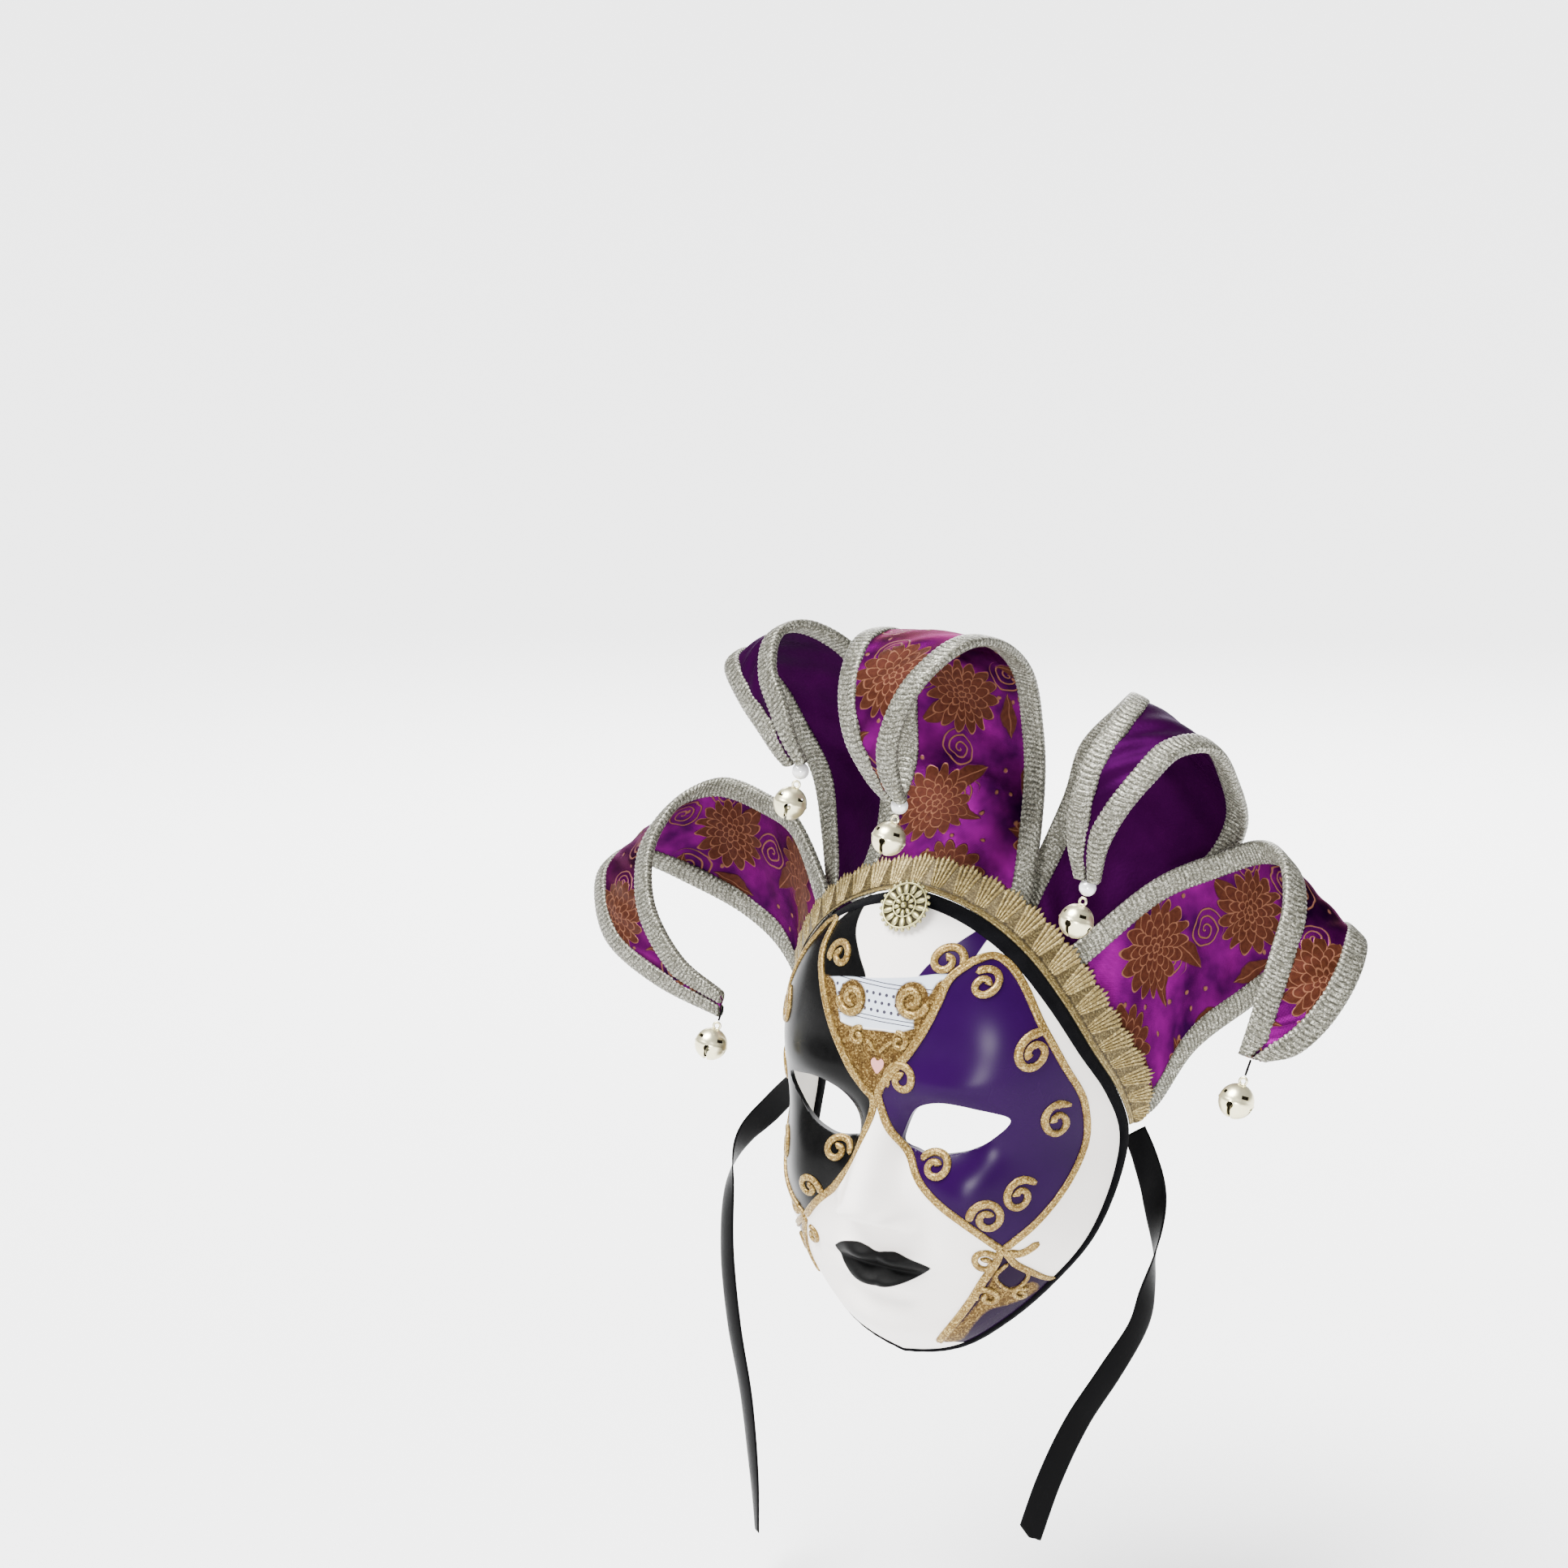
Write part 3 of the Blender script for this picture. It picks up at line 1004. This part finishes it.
plum = Finish("plum_velvet", (0.03, 0.003, 0.06), 0.5, 0.5, IOR=1.1)
plum.set("Specular Tint", (0.35, 0.04, 0.40, 1))
plum_wear = plum.effect(wear.tree, Vector=plum.flat_place(), Scale=40.0)
plum.feed(plum.blend(plum_wear.outputs["Patches"], (0.006, 0.00005, 0.008, 1), (0.024, 0.0001, 0.026, 1)),
          "Base Color")
plum.relief(plum_wear.outputs["Specks"], 0.0002, 0.5)

gimp = Finish("silver_gimp", (0.42, 0.41, 0.36), 0.42, 0.5, Specular_IOR_Level=0.3)
gimp_grains = gimp.effect(glitter.tree, Vector=gimp.place(), Grains=1700.0)
gimp_threads = gimp.add("Attribute", attribute_name="threads").outputs["Fac"]
gimp_base = gimp.blend(gimp_threads, (0.008, 0.0076, 0.0056, 1), (0.088, 0.084, 0.063, 1))
gimp_glint = gimp.maths("MULTIPLY", gimp_grains.outputs["Sparkle"], gimp_threads)
gimp.feed(gimp.blend(gimp_glint, gimp_base, (0.46, 0.45, 0.38, 1)), "Base Color")
gimp.relief(gimp_grains.outputs["Height"], 0.0004, 0.8)

STATIONS = 110
FINER = 6
BRAID_PITCH = 0.0023
tips = {}
for name, horn in HORNS.items():
    rows, side = horn_rows(horn)
    last = len(rows) - 1
    sections = [horn_section(rows, side, last * i / STATIONS) for i in range(STATIONS + 1)]
    middles = [(s[0] + s[1]) / 2 + s[2] for s in sections]
    runs = [0.0]
    for p, q in zip(middles, middles[1:]):
        runs.append(runs[-1] + (q - p).length)

    def cloth_spot(u, v):
        a, b, bulge, along, across, out = sections[round(STATIONS * v)]
        width = (b - a).length
        lift = bulge * 4 * u * (1 - u)
        quiet = math.sin(math.pi * u)
        fold = 0.0009 * quiet * math.sin(9.0 * v * 6.28 + 5 * u) * math.sin(3.7 * v * 6.28 + 9 * u)
        return a + across * width * u + lift + out * fold

    widths = [(s[1] - s[0]).length for s in sections]
    mean_width = sum(widths) / len(widths)
    shape = moved_grid(28, STATIONS, cloth_spot, (1, 1))
    flat = shape.loops.layers.uv.active
    for patch in shape.faces:
        for loop in patch.loops:
            u, v = loop[flat].uv
            i = round(STATIONS * v)
            loop[flat].uv = ((u - 0.5) * widths[i], runs[i])
    stuff = plum if name.endswith("inner") else brocade
    cloth = add_piece("cloth_" + name, shape, stuff.material)
    thicken(cloth, CLOTH_WALL)
    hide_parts("horn_" + name)

    def braid_spot(u, v, edge):
        i = round(v * FINER * STATIONS)
        low, share = i // FINER, (i % FINER) / FINER
        parts = sections[low]
        if share:
            parts = [p.lerp(q, share) for p, q in zip(sections[low], sections[low + 1])]
        a, b, bulge, along, across, out = parts
        width = (b - a).length
        leg = min(BRAID_LEG, width / 2 - 0.0007)
        rim = a if edge == "a" else b
        inward = across if edge == "a" else -across
        lift = bulge * 4 * (leg / width) * (1 - leg / width)
        foot = rim + inward * leg + lift
        outward = (rim - foot).normalized()
        up = outward.cross(along).normalized()
        if up.dot(out) < 0:
            up.negate()
        run = runs[low] + (runs[min(low + 1, STATIONS)] - runs[low]) * share
        x, y = rounded(2 * math.pi * u, 0.5)
        half = leg / 2 + 0.0008
        middle = foot.lerp(rim, 0.5) + outward * 0.0008
        wave = abs(math.sin(math.pi * run / BRAID_PITCH + 2.4 * abs(x)))
        cordage = 0.00050 * wave * (1 - 0.6 * abs(x) ** 4) * min(1, leg / 0.004)
        frill = 0.0004 * wave * (1 if x < 0 else 0.5)
        groove = 1 - 0.8 * math.exp(-((abs(x) - 0.5) / 0.06) ** 2)
        spot = middle + outward * x * (half + frill) + up * y * (0.0020 + cordage * groove)
        return spot, (0.10 + 0.90 * wave ** 0.7) * groove

    for edge in "ab":
        shape = moved_grid(26, FINER * STATIONS, lambda u, v: braid_spot(u, v, edge), (0.022, runs[-1]),
                           around=True)
        bmesh.ops.holes_fill(shape, edges=shape.edges, sides=0)
        bmesh.ops.recalc_face_normals(shape, faces=shape.faces)
        trim = add_piece(f"gimp_{name}_{edge}", shape, gimp.material)
        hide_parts(f"braid_{name}_{edge}")

    end, before = sections[-1], horn_section(rows, side, last - 0.5)
    tip = (end[0] + end[1]) / 2
    tips[name] = (tip, (tip - (before[0] + before[1]) / 2).normalized())


# Bells: pale gold jingle bells pressed from two cups, with a cross slot below and
# a wire loop on top. On three horns a pearl sits between the tip and the bell.
GAP = 0.0004
BEAD_RADIUS = 0.0039
BELL_RADIUS = 0.0077
LOOP_RADIUS = 0.0016
LOOP_WIRE = 0.0006
BELL_TOP = BELL_RADIUS + 2 * LOOP_RADIUS + LOOP_WIRE - 0.0003
THREAD_LENGTH = 0.007
THREAD_RADIUS = 0.0005
THREAD_SEAT = {"left_outer": 0.0015, "right_outer": 0.00045}
BELL_TURN = {"centre": 20, "left_inner": 35, "right_inner": 10, "left_outer": 30, "right_outer": 15}
HANG = Vector((-0.18, -0.30, -0.93)).normalized()
HANG_TURN = Vector((0, -1, 0)).rotation_difference(HANG).to_matrix().to_4x4()

brass = Finish("pale_gold_plating", (0.83, 0.78, 0.56), 0.3, 0.9)
brass_wear = brass.effect(wear.tree, Vector=brass.place(), Scale=90.0)
brass.feed(brass.blend(brass_wear.outputs["Patches"], (0.88, 0.83, 0.58, 1), (0.72, 0.65, 0.38, 1)),
           "Base Color")
brass.feed(brass.maths("MULTIPLY_ADD", brass_wear.outputs["Patches"], 0.22, 0.20), "Roughness")
brass.relief(brass_wear.outputs["Specks"], 0.00004, 0.5)

tarnish = Finish("tarnished_inside", (0.018, 0.014, 0.008), 0.7, Specular_IOR_Level=0.1)
tarnish_wear = tarnish.effect(wear.tree, Vector=tarnish.place(), Scale=300.0)
tarnish_brown = tarnish.blend(
    tarnish_wear.outputs["Patches"], (0.010, 0.008, 0.004, 1), (0.05, 0.04, 0.02, 1))
tarnish.feed(tarnish_brown, "Base Color")

pearl = Finish("silver_pearl", (0.78, 0.78, 0.77), 0.16, 0.25, Coat_Weight=0.8, Coat_Roughness=0.05)
pearl_wear = pearl.effect(wear.tree, Vector=pearl.place(), Scale=180.0)
pearl.feed(pearl.blend(pearl_wear.outputs["Patches"], (0.84, 0.83, 0.82, 1), (0.66, 0.66, 0.68, 1)),
           "Base Color")
pearl.feed(pearl.maths("MULTIPLY_ADD", pearl_wear.outputs["Specks"], 0.10, 0.10), "Roughness")


def bell_mesh():
    """One bell about the origin, its loop at the top along +Z."""
    cup = bmesh.new()
    bmesh.ops.create_uvsphere(cup, u_segments=48, v_segments=28, radius=BELL_RADIUS)
    seam = [v for v in cup.verts if abs(v.co.z) < BELL_RADIUS * 0.06]
    bmesh.ops.scale(cup, verts=seam, vec=(1.045, 1.045, 1))
    mesh = bpy.data.meshes.new("bell")
    cup.to_mesh(mesh)
    cup.free()
    bell = bpy.data.objects.new("bell", mesh)
    bpy.context.scene.collection.objects.link(bell)
    mesh.materials.append(brass.material)
    mesh.materials.append(tarnish.material)
    wall = thicken(bell, 0.0007, -1)
    wall.use_even_offset = False
    wall.material_offset = 1
    slots = bmesh.new()
    for turn in (0, math.pi / 2):
        bar = bmesh.ops.create_cube(slots, size=1, matrix=Matrix.Rotation(turn, 4, "Z")
                                    @ Matrix.Translation((0, 0, -0.62 * BELL_RADIUS))
                                    @ Matrix.Diagonal((2.4 * BELL_RADIUS, 0.0017, 0.84 * BELL_RADIUS, 1)))
        for end in (-1, 1):
            bmesh.ops.create_cone(slots, cap_ends=True, segments=20, radius1=0.0016, radius2=0.0016,
                                  depth=0.008, matrix=Matrix.Rotation(turn, 4, "Z")
                                  @ Matrix.Translation((end * 0.98 * BELL_RADIUS, 0, -0.18 * BELL_RADIUS))
                                  @ Matrix.Rotation(math.pi / 2, 4, "Y"))
            bmesh.ops.create_cube(slots, size=1, matrix=Matrix.Rotation(turn + math.pi / 4, 4, "Z")
                                  @ Matrix.Translation((end * 0.8 * BELL_RADIUS, 0, 0.42 * BELL_RADIUS))
                                  @ Matrix.Diagonal((0.006, 0.0034, 0.0015, 1)))
    tool_mesh = bpy.data.meshes.new("slots")
    slots.to_mesh(tool_mesh)
    slots.free()
    tool = bpy.data.objects.new("slots", tool_mesh)
    bpy.context.scene.collection.objects.link(tool)
    cut = bell.modifiers.new("slots", "BOOLEAN")
    cut.object = tool
    cut.solver = "EXACT"
    cut.use_self = True
    baked(bell, [tool])
    whole = bmesh.new()
    whole.from_mesh(bell.data)
    bpy.data.objects.remove(bell)
    ring = bmesh.new()
    bmesh.ops.create_circle(ring, segments=10, radius=LOOP_WIRE,
                            matrix=Matrix.Translation((LOOP_RADIUS, 0, 0))
                            @ Matrix.Rotation(math.pi / 2, 4, "X"))
    bmesh.ops.spin(ring, geom=ring.verts[:] + ring.edges[:], cent=(0, 0, 0), axis=(0, 0, 1),
                   angle=2 * math.pi, steps=24, use_merge=True)
    bmesh.ops.rotate(ring, verts=ring.verts, cent=(0, 0, 0), matrix=Matrix.Rotation(math.pi / 2, 3, "X"))
    bmesh.ops.translate(ring, verts=ring.verts, vec=(0, 0, BELL_RADIUS + LOOP_RADIUS - 0.0003))
    bmesh.ops.recalc_face_normals(ring, faces=ring.faces)
    bmesh.ops.create_uvsphere(ring, u_segments=20, v_segments=12, radius=0.0028,
                              matrix=Matrix.Translation((0.001, 0, -BELL_RADIUS + 0.0042)))
    extra = bpy.data.meshes.new("extra")
    ring.to_mesh(extra)
    ring.free()
    whole.from_mesh(extra)
    return whole


BELL = bell_mesh()
for name, (tip, out) in tips.items():
    outer = name.endswith("outer")
    start = tip + out * (THREAD_SEAT[name] if outer else GAP)
    if outer:
        thread = bmesh.new()
        bmesh.ops.create_cone(thread, cap_ends=True, segments=12, radius1=THREAD_RADIUS,
                              radius2=THREAD_RADIUS, depth=THREAD_LENGTH)
        middle = start + HANG * (THREAD_LENGTH / 2 + THREAD_RADIUS)
        turn = Vector((0, 0, -1)).rotation_difference(HANG).to_matrix().to_4x4()
        bmesh.ops.transform(thread, matrix=Matrix.Translation(middle) @ turn, verts=thread.verts)
        strand = add_piece("strand_" + name, thread, satin.material)
        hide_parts("thread_" + name)
        under = start + HANG * (THREAD_LENGTH + THREAD_RADIUS + GAP)
    else:
        seat = start + out * BEAD_RADIUS
        bead = bmesh.new()
        bmesh.ops.create_uvsphere(bead, u_segments=32, v_segments=20, radius=BEAD_RADIUS,
                                  matrix=Matrix.Translation(seat))
        pearl_bead = add_piece("pearl_" + name, bead, pearl.material)
        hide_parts("bead_" + name)
        under = seat + HANG * (BEAD_RADIUS + GAP)
    matrix = (Matrix.Translation(under + HANG * BELL_TOP) @ HANG_TURN
              @ Matrix.Rotation(-math.pi / 2, 4, "X") @ Matrix.Rotation(math.radians(BELL_TURN[name]), 4, "Z"))
    copy = BELL.copy()
    bmesh.ops.transform(copy, matrix=matrix, verts=copy.verts)
    jingle = add_piece("jingle_" + name, copy, brass.material)
    jingle.data.materials.append(tarnish.material)
    jingle.data.set_sharp_from_angle(angle=math.radians(50))
    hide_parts("bell_" + name)
BELL.free()


# Brooch: a flower of pale gold petals, wire and balls on a dark plate, pinned over
# the lace at the top of the forehead.
BROOCH_TILT = 0.65

aged_brass = Finish("aged_gold", (0.42, 0.38, 0.20), 0.38, 0.8)
aged_wear = aged_brass.effect(wear.tree, Vector=aged_brass.place(), Scale=260.0)
aged_gold = aged_brass.blend(
    aged_wear.outputs["Patches"], (0.16, 0.14, 0.05, 1), (0.58, 0.54, 0.27, 1))
aged_brass.feed(aged_gold, "Base Color")


def wire_ring(shape, centre, radius, wire, around=32, section=8, height=0.0):
    ring = bmesh.new()
    bmesh.ops.create_circle(ring, segments=section, radius=wire,
                            matrix=Matrix.Translation((radius, 0, 0))
                            @ Matrix.Rotation(math.pi / 2, 4, "X"))
    bmesh.ops.spin(ring, geom=ring.verts[:] + ring.edges[:], cent=(0, 0, 0), axis=(0, 0, 1),
                   angle=2 * math.pi, steps=around, use_merge=True)
    bmesh.ops.translate(ring, verts=ring.verts, vec=(*centre, height))
    bmesh.ops.recalc_face_normals(ring, faces=ring.faces)
    part = bpy.data.meshes.new("part")
    ring.to_mesh(part)
    ring.free()
    shape.from_mesh(part)
    bpy.data.meshes.remove(part)


def petals(shape, count, reach, long, wide, height):
    """A ring of long rounded petals."""
    for i in range(count):
        turn = 2 * math.pi * i / count
        bmesh.ops.create_uvsphere(
            shape, u_segments=14, v_segments=10, radius=1,
            matrix=Matrix.Translation((reach * math.cos(turn), reach * math.sin(turn), height))
            @ Matrix.Rotation(turn, 4, "Z") @ Matrix.Diagonal((long, wide, 0.0008, 1)))


medallion = bmesh.new()
bmesh.ops.create_cone(medallion, cap_ends=True, segments=36, radius1=0.0110, radius2=0.0106, depth=0.0010,
                      matrix=Matrix.Translation((0, 0, 0.0005)))
for patch in medallion.faces:
    patch.material_index = 1
wire_ring(medallion, (0, 0), 0.0109, 0.00060, 48, 8, 0.0012)
wire_ring(medallion, (0, 0), 0.0056, 0.00040, 32, 8, 0.0014)
petals(medallion, 14, 0.0083, 0.0027, 0.0014, 0.0014)
petals(medallion, 9, 0.0038, 0.0017, 0.0010, 0.0017)
for i in range(24):
    turn = math.pi * i / 12
    spot = (0.0119 * math.cos(turn), 0.0119 * math.sin(turn), 0.001)
    bmesh.ops.create_uvsphere(medallion, u_segments=12, v_segments=8, radius=0.0009,
                              matrix=Matrix.Translation(spot))
bmesh.ops.create_uvsphere(medallion, u_segments=24, v_segments=14, radius=0.0015,
                          matrix=Matrix.Translation((0, 0, 0.0019)))
seat = face_point(0, 1) + Vector((0, -0.127 * SPAN, -0.03 * SPAN))
bmesh.ops.transform(medallion, verts=medallion.verts, matrix=Matrix.Translation(seat)
                    @ Matrix.Rotation(-BROOCH_TILT, 4, "X") @ Matrix.Rotation(math.pi / 2, 4, "X"))
brooch = add_piece("filigree_brooch", medallion, aged_brass.material)
brooch.data.materials.append(tarnish.material)
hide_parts("brooch")
